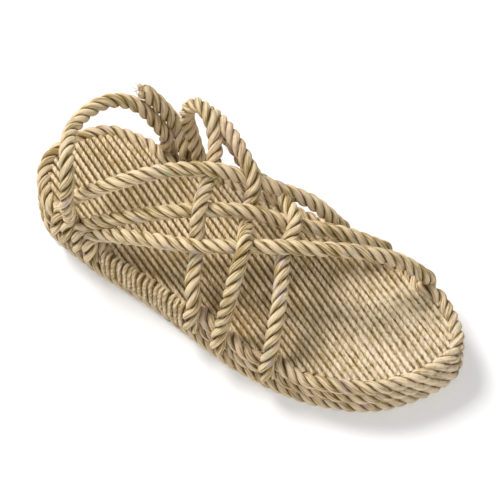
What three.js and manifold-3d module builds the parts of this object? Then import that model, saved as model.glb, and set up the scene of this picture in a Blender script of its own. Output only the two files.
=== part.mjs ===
// Rope sandal for the right foot, made of laid rope all over.
// Millimetres, +Z up, toe towards +Y, outer side of the foot towards +X, standing on z = 0.
import * as THREE from 'three';
import { mergeVertices } from 'three/addons/utils/BufferGeometryUtils.js';
import Module from 'manifold-3d';

const wasm = await Module();
wasm.setup();

// Driving dimensions
const SOLE_LENGTH = 280;
const BALL_WIDTH = 105.5;
const ROPE_DIAMETER = 9.2;
const OUTSOLE_HEIGHT = 9.2;
const MIDSOLE_HEIGHT = 9.2;
const STRAP_RISE = 64;
const SEAT_GAP = 0.3;
const EDGE_FLAT = 0.2;
const FIELD_DROP = 1.6;
const RIDGE_PITCH = 3.8;
const RIDGE_HEIGHT = 0.9;
const RIDGE_TURN_DEGREES = 26;
const FOOT_LEDGE = 1.4;

// Finish of the model's surface
const OUTLINE_STEPS = 72;
const ROPE_SIDES = 8;
const ROPE_STEP = 8;
const EDGE_STEPS = 3;

// Sizes worked out from the driving ones
const ROPE_RADIUS = ROPE_DIAMETER / 2;
const RIM_BOTTOM = OUTSOLE_HEIGHT + MIDSOLE_HEIGHT;
const SOLE_HEIGHT = RIM_BOTTOM + ROPE_DIAMETER;
const HALF_LENGTH = SOLE_LENGTH / 2;
const HALF_BALL = BALL_WIDTH / 2;

// Outline of the sole: along and across are shares of half the length and half the ball width,
// with the big toe's side at minus.
const TOE_TIP = { along: 1, across: -0.19 };
const HEEL_TIP = { along: -1, across: 0.03 };
const OUTLINE = [
  { along: 0.843, outer: 0.63, inner: -0.70 },
  { along: 0.571, outer: 1.02, inner: -0.885 },
  { along: 0.214, outer: 1.10, inner: -0.90 },
  { along: -0.214, outer: 0.93, inner: -0.845 },
  { along: -0.607, outer: 0.82, inner: -0.80 },
  { along: -0.871, outer: 0.60, inner: -0.65 },
];

// Straps: each row is a place of the rope's middle. along and across are shares as above,
// rise is a share of the strap rise above the top of the sole. A foot goes over the rim
// at its place along the sole, on the outer (1) or the inner (-1) side.
const STRAP_ONE = {
  start: { along: -0.75, side: 1 },
  rows: [
    { along: -0.72, across: 0.56, rise: 0.22 },
    { along: -0.655, across: 0.55, rise: 0.42 },
    { along: -0.521, across: 0.40, rise: 0.68 },
    { along: -0.379, across: 0.114, rise: 0.80 },
    { along: -0.214, across: -0.17, rise: 0.83 },
    { along: -0.093, across: -0.37, rise: 0.70 },
    { along: 0.01, across: -0.52, rise: 0.57 },
    { along: 0.164, across: -0.72, rise: 0.36 },
  ],
  end: { along: 0.27, side: -1 },
};
const STRAP_TWO = {
  start: { along: -0.63, side: 1 },
  rows: [
    { along: -0.514, across: 0.61, rise: 0.30 },
    { along: -0.35, across: 0.417, rise: 0.49 },
    { along: -0.229, across: 0.246, rise: 0.57 },
    { along: -0.10, across: 0.076, rise: 0.63 },
    { along: 0.014, across: -0.095, rise: 0.61 },
    { along: 0.121, across: -0.265, rise: 0.47 },
    { along: 0.20, across: -0.40, rise: 0.385 },
    { along: 0.336, across: -0.61, rise: 0.28 },
  ],
  end: { along: 0.475, side: -1 },
};
const STRAP_THREE = {
  start: { along: -0.57, side: 1 },
  rows: [
    { along: -0.42, across: 0.70, rise: 0.29 },
    { along: -0.229, across: 0.588, rise: 0.41 },
    { along: -0.114, across: 0.493, rise: 0.46 },
    { along: -0.014, across: 0.379, rise: 0.51 },
    { along: 0.121, across: 0.227, rise: 0.585 },
    { along: 0.271, across: 0.02, rise: 0.61 },
    { along: 0.471, across: -0.322, rise: 0.53 },
    { along: 0.60, across: -0.588, rise: 0.34 },
  ],
  end: { along: 0.70, side: -1 },
};
const STRAP_FOUR = {
  start: { along: -0.40, side: -1 },
  rows: [
    { along: -0.455, across: -0.80, rise: 0.36 },
    { along: -0.475, across: -0.80, rise: 0.56 },
    { along: -0.464, across: -0.80, rise: 0.74 },
    { along: -0.407, across: -0.78, rise: 0.89 },
    { along: -0.336, across: -0.69, rise: 0.91 },
    { along: -0.271, across: -0.53, rise: 0.80 },
    { along: -0.221, across: -0.265, rise: 0.725 },
    { along: -0.193, across: 0, rise: 0.725 },
    { along: -0.164, across: 0.246, rise: 0.69 },
    { along: -0.143, across: 0.379, rise: 0.54 },
    { along: -0.121, across: 0.465, rise: 0.37 },
    { along: -0.093, across: 0.635, rise: 0.30 },
    { along: -0.064, across: 0.815, rise: 0.22 },
  ],
  end: { along: -0.03, side: 1 },
};
const STRAP_FIVE = {
  rows: [
    { along: -0.40, across: -0.895, rise: 0.70 },
    { along: -0.321, across: -0.80, rise: 0.80 },
    { along: -0.236, across: -0.68, rise: 0.85 },
    { along: -0.136, across: -0.53, rise: 0.82 },
    { along: -0.043, across: -0.36, rise: 0.73 },
    { along: -0.014, across: -0.10, rise: 0.52 },
    { along: 0.036, across: 0.15, rise: 0.56 },
    { along: 0.086, across: 0.379, rise: 0.69 },
    { along: 0.107, across: 0.607, rise: 0.60 },
    { along: 0.121, across: 0.834, rise: 0.37 },
  ],
  end: { along: 0.12, side: 1 },
};
const STRAP_SIX = {
  rows: [
    { along: -0.371, across: -0.885, rise: 0.52 },
    { along: -0.30, across: -0.80, rise: 0.62 },
    { along: -0.229, across: -0.72, rise: 0.64 },
    { along: -0.157, across: -0.66, rise: 0.51 },
    { along: -0.086, across: -0.625, rise: 0.43 },
    { along: 0, across: -0.58, rise: 0.445 },
    { along: 0.093, across: -0.455, rise: 0.50 },
    { along: 0.179, across: -0.265, rise: 0.53 },
    { along: 0.207, across: 0.09, rise: 0.49 },
    { along: 0.264, across: 0.379, rise: 0.47 },
    { along: 0.314, across: 0.664, rise: 0.37 },
    { along: 0.343, across: 0.89, rise: 0.20 },
  ],
  end: { along: 0.357, side: 1 },
};
const HEEL_STRAP = {
  start: { along: -0.695, side: 1 },
  rows: [
    { along: -0.686, across: 0.77, rise: 0.377 },
    { along: -0.689, across: 0.76, rise: 0.53 },
    { along: -0.699, across: 0.69, rise: 0.717 },
    { along: -0.729, across: 0.57, rise: 0.825 },
    { along: -0.772, across: 0.379, rise: 0.829 },
    { along: -0.817, across: 0.095, rise: 0.736 },
    { along: -0.821, across: -0.19, rise: 0.693 },
    { along: -0.78, across: -0.455, rise: 0.67 },
    { along: -0.723, across: -0.626, rise: 0.582 },
    { along: -0.668, across: -0.7, rise: 0.478 },
    { along: -0.613, across: -0.73, rise: 0.331 },
    { along: -0.565, across: -0.73, rise: 0.205 },
  ],
  end: { along: -0.565, side: -1 },
};
const TIE_ROPE = {
  rows: [
    { along: -0.693, across: -0.777, rise: 0.686 },
    { along: -0.66, across: -0.815, rise: 0.58 },
    { along: -0.618, across: -0.844, rise: 0.476 },
    { along: -0.574, across: -0.863, rise: 0.346 },
    { along: -0.534, across: -0.863, rise: 0.227 },
  ],
  end: { along: -0.475, side: -1 },
};

// Foot of a strap: inset from the sole's edge and rise above its top, as shares of the rope's
// radius, over the rim, at the sole's side and at the end above the bottom layer
const FOOT_OVER = { inset: 1, rise: 1.1 };
const FOOT_SIDE = { inset: 0.3, rise: -0.2 };
const FOOT_END = { inset: 0.2 };

// Section of one ridge of the footbed: place across it as a share of the pitch,
// drop from its crest as a share of its height
const RIDGE_ROWS = [
  { across: 0, drop: 1 },
  { across: 0.25, drop: 0.25 },
  { across: 0.5, drop: 0 },
  { across: 0.75, drop: 0.25 },
];

// Closed outline of the sole
function soleCurve() {
  const points = [];
  const place = (row, across) => new THREE.Vector3(across * HALF_BALL, row.along * HALF_LENGTH, 0);
  points.push(place(TOE_TIP, TOE_TIP.across));
  for (const row of OUTLINE) {
    points.push(place(row, row.outer));
  }
  points.push(place(HEEL_TIP, HEEL_TIP.across));
  for (const row of [...OUTLINE].reverse()) {
    points.push(place(row, row.inner));
  }
  return new THREE.CatmullRomCurve3(points, true, 'centripetal');
}

// Points of the outline, anticlockwise, each with the direction that leads into the sole
function soleEdge() {
  const curve = soleCurve();
  const edge = [];
  for (let i = 0; i < OUTLINE_STEPS; i += 1) {
    const along = curve.getTangentAt(i / OUTLINE_STEPS);
    edge.push({ point: curve.getPointAt(i / OUTLINE_STEPS), inward: new THREE.Vector2(along.y, -along.x) });
  }
  return edge.reverse();
}

const SOLE_EDGE = soleEdge();

// Outline drawn in by an inset
function outlinePoints(inset) {
  return SOLE_EDGE.map(({ point, inward }) => (
    new THREE.Vector2(point.x, point.y).addScaledVector(inward, inset)
  ));
}

// Edge of the sole at a place along it, on one side
function edgeAt(y, side) {
  let edge = 0;
  SOLE_EDGE.forEach(({ point: a }, i) => {
    const b = SOLE_EDGE[(i + 1) % SOLE_EDGE.length].point;
    if ((a.y - y) * (b.y - y) <= 0 && a.y !== b.y) {
      const x = a.x + ((b.x - a.x) * (y - a.y)) / (b.y - a.y);
      edge = side * Math.max(side * edge, side * x);
    }
  });
  return edge;
}

// A closed mesh as a solid
function toSolid(geometry) {
  geometry.deleteAttribute('normal');
  geometry.deleteAttribute('uv');
  const merged = mergeVertices(geometry, 1e-4);
  return new wasm.Manifold(new wasm.Mesh({
    numProp: 3,
    vertProperties: Float32Array.from(merged.attributes.position.array),
    triVerts: Uint32Array.from(merged.index.array),
  }));
}

function toGeometry(solid) {
  const mesh = solid.getMesh();
  const geometry = new THREE.BufferGeometry();
  geometry.setAttribute('position', new THREE.BufferAttribute(Float32Array.from(mesh.vertProperties), 3));
  geometry.setIndex(new THREE.BufferAttribute(Uint32Array.from(mesh.triVerts), 1));
  return geometry;
}

// One rope layer of the sole with half-round edges, a full slab or only the rope along its edge
function soleLayer(bottom, thickness, edgeOnly) {
  const height = thickness - SEAT_GAP;
  const round = (height - EDGE_FLAT) / 2;
  const shape = new THREE.Shape(outlinePoints(round));
  if (edgeOnly) {
    shape.holes.push(new THREE.Path(outlinePoints(ROPE_DIAMETER - round)));
  }
  const geometry = new THREE.ExtrudeGeometry(shape, {
    depth: EDGE_FLAT,
    bevelEnabled: true,
    bevelThickness: round,
    bevelSize: round,
    bevelSegments: EDGE_STEPS,
  });
  geometry.translate(0, 0, bottom + round);
  return toSolid(geometry);
}

// Middle of a strap, from its rows and its feet
function strapPoints(strap) {
  const points = strap.rows.map((row) => new THREE.Vector3(
    row.across * HALF_BALL,
    row.along * HALF_LENGTH,
    SOLE_HEIGHT + row.rise * STRAP_RISE,
  ));
  if (strap.start) {
    points.unshift(...footPoints(strap.start).reverse());
  }
  if (strap.end) {
    points.push(...footPoints(strap.end));
  }
  return points;
}

// A foot: over the rim rope, down the side of the sole, and to its end above the bottom layer
function footPoints(foot) {
  const y = foot.along * HALF_LENGTH;
  const edge = edgeAt(y, foot.side);
  const at = (row, z) => new THREE.Vector3(edge - foot.side * row.inset * ROPE_RADIUS, y, z);
  return [
    at(FOOT_OVER, SOLE_HEIGHT + FOOT_OVER.rise * ROPE_RADIUS),
    at(FOOT_SIDE, SOLE_HEIGHT + FOOT_SIDE.rise * ROPE_RADIUS),
    at(FOOT_END, OUTSOLE_HEIGHT + FOOT_LEDGE),
  ];
}

// A rope of a radius through points
function ropeSolid(points, radius) {
  const curve = new THREE.CatmullRomCurve3(points, false, 'centripetal');
  const corners = [];
  for (let i = 0; i < ROPE_SIDES; i += 1) {
    const turn = (2 * Math.PI * i) / ROPE_SIDES;
    corners.push(new THREE.Vector2(Math.cos(turn) * radius, Math.sin(turn) * radius));
  }
  const geometry = new THREE.ExtrudeGeometry(new THREE.Shape(corners), {
    steps: Math.ceil(curve.getLength() / ROPE_STEP),
    extrudePath: curve,
    bevelEnabled: false,
  });
  return toSolid(geometry);
}

function joined(solids) {
  return solids.reduce((sum, solid) => sum.add(solid));
}

function strapSolid(strap, extra = 0) {
  return ropeSolid(strapPoints(strap), ROPE_RADIUS + extra);
}

// Ridged field of the footbed: a scalloped sheet run along the strands, cut to the outline
function footbedSolid() {
  const crest = ROPE_DIAMETER - SEAT_GAP - FIELD_DROP;
  const count = Math.ceil((HALF_LENGTH + BALL_WIDTH) / RIDGE_PITCH);
  const reach = count * RIDGE_PITCH;
  const corners = [new THREE.Vector2(-reach, 0)];
  for (let i = -count; i < count; i += 1) {
    for (const row of RIDGE_ROWS) {
      corners.push(new THREE.Vector2((i + row.across) * RIDGE_PITCH, crest - row.drop * RIDGE_HEIGHT));
    }
  }
  corners.push(new THREE.Vector2(reach, crest - RIDGE_HEIGHT), new THREE.Vector2(reach, 0));
  const section = new THREE.Shape(corners);
  const ridges = new THREE.ExtrudeGeometry(section, { depth: 2 * reach, bevelEnabled: false });
  ridges.translate(0, 0, -reach);
  ridges.rotateX(Math.PI / 2);
  ridges.rotateZ(THREE.MathUtils.degToRad(-RIDGE_TURN_DEGREES));
  ridges.translate(0, 0, RIM_BOTTOM);
  const outline = new THREE.Shape(outlinePoints(ROPE_DIAMETER + SEAT_GAP));
  const blank = new THREE.ExtrudeGeometry(outline, { depth: 2 * ROPE_DIAMETER, bevelEnabled: false });
  blank.translate(0, 0, RIM_BOTTOM - ROPE_RADIUS);
  return toSolid(ridges).intersect(toSolid(blank));
}

const ROPE_FINISH = { color: 0xcdb387, roughness: 0.78, metalness: 0 };

const sandal = new THREE.Group();

function addPiece(name, solid) {
  const mesh = new THREE.Mesh(toGeometry(solid), new THREE.MeshStandardMaterial(ROPE_FINISH));
  mesh.name = name;
  sandal.add(mesh);
}

// Straps first, because the sole and the looser ropes are cut to clear them
const woven = [STRAP_ONE, STRAP_TWO, STRAP_THREE, STRAP_FOUR, STRAP_FIVE, STRAP_SIX];
const upper = joined(woven.map((strap) => strapSolid(strap)));
const upperRoom = joined(woven.map((strap) => strapSolid(strap, SEAT_GAP)));
const heelRoom = strapSolid(HEEL_STRAP, SEAT_GAP);
const tieRoom = strapSolid(TIE_ROPE, SEAT_GAP);
const strapRoom = joined([upperRoom, heelRoom, tieRoom]);

addPiece('outsole', soleLayer(0, OUTSOLE_HEIGHT, false));
addPiece('midsole', soleLayer(OUTSOLE_HEIGHT, MIDSOLE_HEIGHT, false).subtract(strapRoom));
addPiece('rim_rope', soleLayer(RIM_BOTTOM, ROPE_DIAMETER, true).subtract(strapRoom));
addPiece('footbed', footbedSolid());
addPiece('upper', upper);
addPiece('heel_strap', strapSolid(HEEL_STRAP).subtract(upperRoom));
addPiece('tie_rope', strapSolid(TIE_ROPE).subtract(upperRoom).subtract(heelRoom));

export default sandal;
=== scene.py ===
# %% [markdown]
# # A sandal made of laid rope
# This sandal is made of three-strand rope: the layers of the sole, the ridged footbed and the
# straps. The imported model gives the place and thickness of every rope as one smooth round. This lesson
# replaces each smooth round by three strands that really turn about each other, and gives the strands
# the dry, streaky finish of plant fibre. The imported frame is loaded first.

# %% Load the frame
import math

import bpy
import numpy as np
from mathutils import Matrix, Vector


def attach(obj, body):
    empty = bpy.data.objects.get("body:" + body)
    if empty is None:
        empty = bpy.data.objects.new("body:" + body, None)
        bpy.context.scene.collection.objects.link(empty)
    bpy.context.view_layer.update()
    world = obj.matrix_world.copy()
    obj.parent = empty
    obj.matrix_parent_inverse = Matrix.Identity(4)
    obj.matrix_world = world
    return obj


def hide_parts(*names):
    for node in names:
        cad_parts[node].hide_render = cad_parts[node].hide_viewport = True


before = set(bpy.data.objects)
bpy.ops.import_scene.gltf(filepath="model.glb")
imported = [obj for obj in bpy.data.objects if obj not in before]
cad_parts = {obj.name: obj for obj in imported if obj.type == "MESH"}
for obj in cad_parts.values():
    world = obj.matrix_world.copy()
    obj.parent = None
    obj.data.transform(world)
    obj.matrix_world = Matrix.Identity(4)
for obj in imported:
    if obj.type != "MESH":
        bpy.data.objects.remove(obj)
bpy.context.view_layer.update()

# %% [markdown]
# ## Sizes
# The sandal's own sizes come first, in millimetres, as its maker would note them. The straps are
# tables of places that each rope passes: shares of half the length along the sole, shares of half the
# ball width across it, and shares of the strap rise above its top. They are the values of the solid
# model, so the dressed ropes lie on the smooth ones. Only their feet, slimmer here, turn inwards at their
# ends, inside the middle layer.

# %% Named sizes
MM = 0.001
SOLE_LENGTH = 280
BALL_WIDTH = 105.5
ROPE_DIAMETER = 9.2
OUTSOLE_HEIGHT = 9.2
MIDSOLE_HEIGHT = 9.2
STRAP_RISE = 64
FIELD_DROP = 1.6
RIDGE_PITCH = 3.8
RIDGE_TURN = math.radians(26)
ROPE_LAY = 21.8

ROPE_RADIUS = ROPE_DIAMETER / 2
HALF_LENGTH = SOLE_LENGTH / 2
HALF_BALL = BALL_WIDTH / 2
RIM_BOTTOM = OUTSOLE_HEIGHT + MIDSOLE_HEIGHT
SOLE_HEIGHT = RIM_BOTTOM + ROPE_DIAMETER
print("sole", SOLE_LENGTH, "x", BALL_WIDTH, "x", round(SOLE_HEIGHT, 1), "mm")

# %% Outline of the sole
TOE_TIP = (1, -0.19)
HEEL_TIP = (-1, 0.03)
OUTLINE = [  # along, outer, inner
    (0.843, 0.63, -0.70),
    (0.571, 1.02, -0.885),
    (0.214, 1.10, -0.90),
    (-0.214, 0.93, -0.845),
    (-0.607, 0.82, -0.80),
    (-0.871, 0.60, -0.65),
]

# %% The straps, each a table of along, across and rise with its feet
STRAP_ONE = dict(
    start=(-0.75, 1),
    rows=[(-0.72, 0.56, 0.22), (-0.655, 0.55, 0.42), (-0.521, 0.40, 0.68), (-0.379, 0.114, 0.80),
          (-0.214, -0.17, 0.83), (-0.093, -0.37, 0.70), (0.01, -0.52, 0.57), (0.164, -0.72, 0.36)],
    end=(0.27, -1))
STRAP_TWO = dict(
    start=(-0.63, 1),
    rows=[(-0.514, 0.61, 0.30), (-0.35, 0.417, 0.49), (-0.229, 0.246, 0.57), (-0.10, 0.076, 0.63),
          (0.014, -0.095, 0.61), (0.121, -0.265, 0.47), (0.20, -0.40, 0.385), (0.336, -0.61, 0.28)],
    end=(0.475, -1))
STRAP_THREE = dict(
    start=(-0.57, 1),
    rows=[(-0.42, 0.70, 0.29), (-0.229, 0.588, 0.41), (-0.114, 0.493, 0.46), (-0.014, 0.379, 0.51),
          (0.121, 0.227, 0.585), (0.271, 0.02, 0.61), (0.471, -0.322, 0.53), (0.60, -0.588, 0.34)],
    end=(0.70, -1))
STRAP_FOUR = dict(
    start=(-0.40, -1),
    rows=[(-0.455, -0.80, 0.36), (-0.475, -0.80, 0.56), (-0.464, -0.80, 0.74), (-0.407, -0.78, 0.89),
          (-0.336, -0.69, 0.91), (-0.271, -0.53, 0.80), (-0.221, -0.265, 0.725), (-0.193, 0, 0.725),
          (-0.164, 0.246, 0.69), (-0.143, 0.379, 0.54), (-0.121, 0.465, 0.37), (-0.093, 0.635, 0.30),
          (-0.064, 0.815, 0.22)],
    end=(-0.03, 1))
STRAP_FIVE = dict(
    start=None,
    rows=[(-0.40, -0.895, 0.70), (-0.321, -0.80, 0.80), (-0.236, -0.68, 0.85), (-0.136, -0.53, 0.82),
          (-0.043, -0.36, 0.73), (-0.014, -0.10, 0.52), (0.036, 0.15, 0.56), (0.086, 0.379, 0.69),
          (0.107, 0.607, 0.60), (0.121, 0.834, 0.37)],
    end=(0.12, 1))
STRAP_SIX = dict(
    start=None,
    rows=[(-0.371, -0.885, 0.52), (-0.30, -0.80, 0.62), (-0.229, -0.72, 0.64), (-0.157, -0.66, 0.51),
          (-0.086, -0.625, 0.43), (0, -0.58, 0.445), (0.093, -0.455, 0.50), (0.179, -0.265, 0.53),
          (0.207, 0.09, 0.49), (0.264, 0.379, 0.47), (0.314, 0.664, 0.37), (0.343, 0.89, 0.20)],
    end=(0.357, 1))
HEEL_STRAP = dict(
    start=(-0.695, 1),
    rows=[(-0.686, 0.77, 0.377), (-0.689, 0.76, 0.53), (-0.699, 0.69, 0.717), (-0.729, 0.57, 0.825),
          (-0.772, 0.379, 0.829), (-0.817, 0.095, 0.736), (-0.821, -0.19, 0.693), (-0.78, -0.455, 0.67),
          (-0.723, -0.626, 0.582), (-0.668, -0.70, 0.478), (-0.613, -0.73, 0.331), (-0.565, -0.73, 0.205)],
    end=(-0.565, -1))
TIE_ROPE = dict(
    start=None,
    rows=[(-0.693, -0.777, 0.686), (-0.66, -0.815, 0.58), (-0.618, -0.844, 0.476), (-0.574, -0.863, 0.346),
          (-0.534, -0.863, 0.227)],
    end=(-0.475, -1))
WOVEN = [STRAP_ONE, STRAP_TWO, STRAP_THREE, STRAP_FOUR, STRAP_FIVE, STRAP_SIX]
print("straps", len(WOVEN))

# %% [markdown]
# ## Smooth lines through the places
# A rope runs smoothly through its places. A centripetal Catmull-Rom curve does the same: it passes
# through each place without a loop or a corner, however unevenly the places are spaced. One function
# serves the open straps and the closed outline.


# %% A smooth line
def smooth_line(points, closed=False, cuts=12):
    pts = [np.array(p, float) for p in points]
    if closed:
        pts = [pts[-1], *pts, pts[0], pts[1]]
    else:
        pts = [2 * pts[0] - pts[1], *pts, 2 * pts[-1] - pts[-2]]
    line = []
    for p0, p1, p2, p3 in zip(pts, pts[1:], pts[2:], pts[3:]):
        d0, d1, d2 = (max(np.linalg.norm(b - a), 1e-6) ** 0.5 for a, b in ((p0, p1), (p1, p2), (p2, p3)))
        m1 = ((p1 - p0) / d0 - (p2 - p0) / (d0 + d1) + (p2 - p1) / d1) * d1
        m2 = ((p2 - p1) / d1 - (p3 - p1) / (d1 + d2) + (p3 - p2) / d2) * d1
        bend, twist = 3 * (p2 - p1) - 2 * m1 - m2, 2 * (p1 - p2) + m1 + m2
        for t in np.arange(cuts) / cuts:
            line.append(p1 + m1 * t + bend * t**2 + twist * t**3)
    if not closed:
        line.append(pts[-2])
    return np.array(line)


def evenly(line, count, closed=False):
    """The same line with its points at equal steps."""
    loop = np.vstack([line, line[:1]]) if closed else line
    steps = np.linalg.norm(np.diff(loop, axis=0), axis=1)
    run = np.concatenate([[0], np.cumsum(steps)])
    at = np.linspace(0, run[-1], count, endpoint=not closed)
    return np.column_stack([np.interp(at, run, loop[:, i]) for i in range(loop.shape[1])])


# %% The sole's edge
EDGE_POINTS = 288


def sole_edge():
    outer = [(row[1] * HALF_BALL, row[0] * HALF_LENGTH) for row in OUTLINE]
    inner = [(row[2] * HALF_BALL, row[0] * HALF_LENGTH) for row in reversed(OUTLINE)]
    toe = (TOE_TIP[1] * HALF_BALL, TOE_TIP[0] * HALF_LENGTH)
    heel = (HEEL_TIP[1] * HALF_BALL, HEEL_TIP[0] * HALF_LENGTH)
    return evenly(smooth_line([toe, *outer, heel, *inner], closed=True), EDGE_POINTS, closed=True)


EDGE = sole_edge()
ALONG_EDGE = np.roll(EDGE, -1, 0) - np.roll(EDGE, 1, 0)
ALONG_EDGE /= np.linalg.norm(ALONG_EDGE, axis=1)[:, None]
INWARD = np.column_stack([ALONG_EDGE[:, 1], -ALONG_EDGE[:, 0]])


def edge_at(y, side):
    """How far out the sole reaches at a place along it."""
    reach = 0.0
    for (ax, ay), (bx, by) in zip(EDGE, np.roll(EDGE, -1, 0)):
        if (ay - y) * (by - y) <= 0 and ay != by:
            reach = max(reach, side * (ax + (bx - ax) * (y - ay) / (by - ay)))
    return side * reach


print("edge", len(EDGE), "points, width", round(float(np.ptp(EDGE[:, 0])), 1), "mm")

# %% Middle line of each strap
FOOT_ROWS = [(1, 1.1), (0.3, -0.2)]  # inset and rise, as shares of the rope's radius
FOOT_TUCK = [(0.3, 6.8), (0.75, 3.8), (1.9, 2.6)]  # inset as a share, height above the outsole in mm


def foot_line(foot):
    along, side = foot
    y = along * HALF_LENGTH
    edge = edge_at(y, side)
    line = [(edge - side * inset * ROPE_RADIUS, y, SOLE_HEIGHT + rise * ROPE_RADIUS)
            for inset, rise in FOOT_ROWS]
    return line + [(edge - side * inset * ROPE_RADIUS, y, OUTSOLE_HEIGHT + height)
                   for inset, height in FOOT_TUCK]


def strap_line(strap):
    line = [(across * HALF_BALL, along * HALF_LENGTH, SOLE_HEIGHT + rise * STRAP_RISE)
            for along, across, rise in strap["rows"]]
    if strap["start"]:
        line = [*reversed(foot_line(strap["start"])), *line]
    if strap["end"]:
        line = [*line, *foot_line(strap["end"])]
    return smooth_line(line)


FEET = [foot for strap in (*WOVEN, HEEL_STRAP, TIE_ROPE) for foot in (strap["start"], strap["end"]) if foot]
print("feet", len(FEET))

# %% [markdown]
# ## Finish: dry fibre
# A strand is a bundle of fine plant fibres. Close up it shows streaks that run with the strand and here
# and there a fibre of another colour. Painted shade darkens the colour where two strands meet, and a
# painted highlight lightens each strand's crest. These things are made once, as a shader node group that
# each rope's material places with its own values. The streaks follow a vector stored on every strand, so
# they bend with the rope and never slide.


# %% Small helpers for node trees
def add_node(tree, kind, feeds=None, **settings):
    made = tree.nodes.new(kind)
    for name, value in settings.items():
        setattr(made, name, value)
    for key, value in (feeds or {}).items():
        if isinstance(value, bpy.types.NodeSocket):
            tree.links.new(value, made.inputs[key])
        else:
            made.inputs[key].default_value = value
    return made


def maths(tree, operation, *values):
    return add_node(tree, "ShaderNodeMath", dict(enumerate(values)), operation=operation).outputs[0]


def vectors(tree, operation, *values, scale=None):
    made = add_node(tree, "ShaderNodeVectorMath", dict(enumerate(values)), operation=operation)
    if isinstance(scale, bpy.types.NodeSocket):
        tree.links.new(scale, made.inputs["Scale"])
    elif scale is not None:
        made.inputs["Scale"].default_value = scale
    return made.outputs[1 if operation in ("DOT_PRODUCT", "LENGTH", "DISTANCE") else 0]


def remap(tree, value, low, high, to_low=0.0, to_high=1.0):
    return add_node(tree, "ShaderNodeMapRange", {
        "Value": value, "From Min": low, "From Max": high, "To Min": to_low, "To Max": to_high,
    }, interpolation_type="SMOOTHSTEP").outputs["Result"]


def blend_colours(tree, share, first, second):
    made = tree.nodes.new("ShaderNodeMix")
    made.data_type = "RGBA"
    for socket, value in ((made.inputs[0], share), (made.inputs[6], first), (made.inputs[7], second)):
        if isinstance(value, bpy.types.NodeSocket):
            tree.links.new(value, socket)
        else:
            socket.default_value = value
    return made.outputs[2]


def noise(tree, vector, scale, detail=3.0, rough=0.55):
    return add_node(tree, "ShaderNodeTexNoise", {
        "Vector": vector, "Scale": scale, "Detail": detail, "Roughness": rough,
    }).outputs["Fac"]


# %% The fibre group
GREENISH = (0.40, 0.46, 0.30, 1)
PINK = (0.60, 0.38, 0.33, 1)
LILAC = (0.47, 0.40, 0.47, 1)
STREAK_SCALE = (150.0, 2100.0, 2100.0)  # spots per metre, along the strand and across it
COARSE_SCALE = (60.0, 820.0, 820.0)
FLECK_SCALE = (130.0, 900.0, 900.0)
STREAK_WEIGHT, COARSE_WEIGHT, PATCH_WEIGHT, TONE_WEIGHT, CREST_LIGHT_WEIGHT = 2.8, 3.1, 1.2, 0.3, 0.45
# Painted shade: below the clear rise the colour is pulled towards the groove colour, fully at the groove
# rise.
GROOVE_RISE, CLEAR_RISE, GROOVE_SHADE_STRENGTH = 0.61, 0.94, 0.94


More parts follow.
